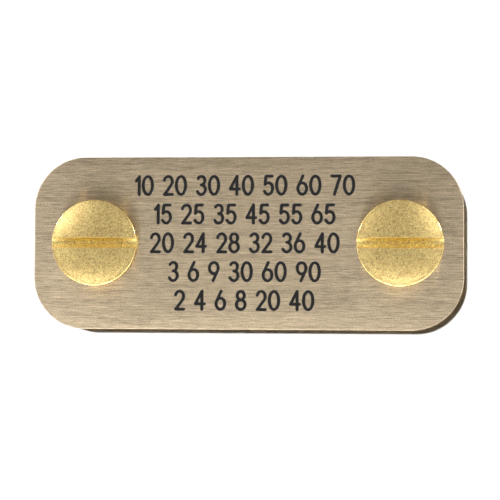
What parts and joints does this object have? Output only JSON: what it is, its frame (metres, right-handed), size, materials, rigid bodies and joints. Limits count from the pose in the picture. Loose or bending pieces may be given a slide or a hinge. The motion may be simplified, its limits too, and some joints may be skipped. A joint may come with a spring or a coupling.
{
  "type": "pet id tag",
  "caption": "Brass name plate for a pet's collar, with plain numbers engraved on its face and slotted screws that draw it onto hollow posts behind the strap.",
  "frame": {"origin": "centre of the tag's footprint, at the undersides of the posts' back heads, on which it lies", "axes": "+Z out of the engraved face, +X along the plate and the strap towards the right end of the engraved lines, +Y across the plate towards the top line"},
  "size_m": [0.05, 0.02, 0.0096],
  "materials": {
    "brushed_plate": "pale brass sheet, brushed along its length, with a polished edge",
    "turned_brass": "yellow brass, turned and then tumbled to a soft grain",
    "engraving_paint": "black paint laid in the engraved lines"
  },
  "bodies": {
    "plate": {"face_plate": "brushed_plate"},
    "left_screw": {"left_screw": "turned_brass"},
    "left_post": {"left_post": "turned_brass"},
    "right_screw": {"right_screw": "turned_brass"},
    "right_post": {"right_post": "turned_brass"}
  },
  "joints": [
    {"name": "left_screw_turn", "type": "hinge", "parent": "plate", "child": "left_screw", "pos_m": [-0.01775, 0, 0.0077], "axis": [0, 0, 1], "range_deg": [0, 2430]},
    {"name": "left_post_travel", "type": "slide", "parent": "plate", "child": "left_post", "axis": [0, 0, -1], "range_m": [0, 0.00473]},
    {"name": "right_screw_turn", "type": "hinge", "parent": "plate", "child": "right_screw", "pos_m": [0.01775, 0, 0.0077], "axis": [0, 0, 1], "range_deg": [0, 2430]},
    {"name": "right_post_travel", "type": "slide", "parent": "plate", "child": "right_post", "axis": [0, 0, -1], "range_m": [0, 0.00473]}
  ],
  "couplings": [
    {"joint": "left_screw_turn", "follows": "left_post_travel", "rad_per_m": 8976},
    {"joint": "right_screw_turn", "follows": "right_post_travel", "rad_per_m": 8976}
  ]
}
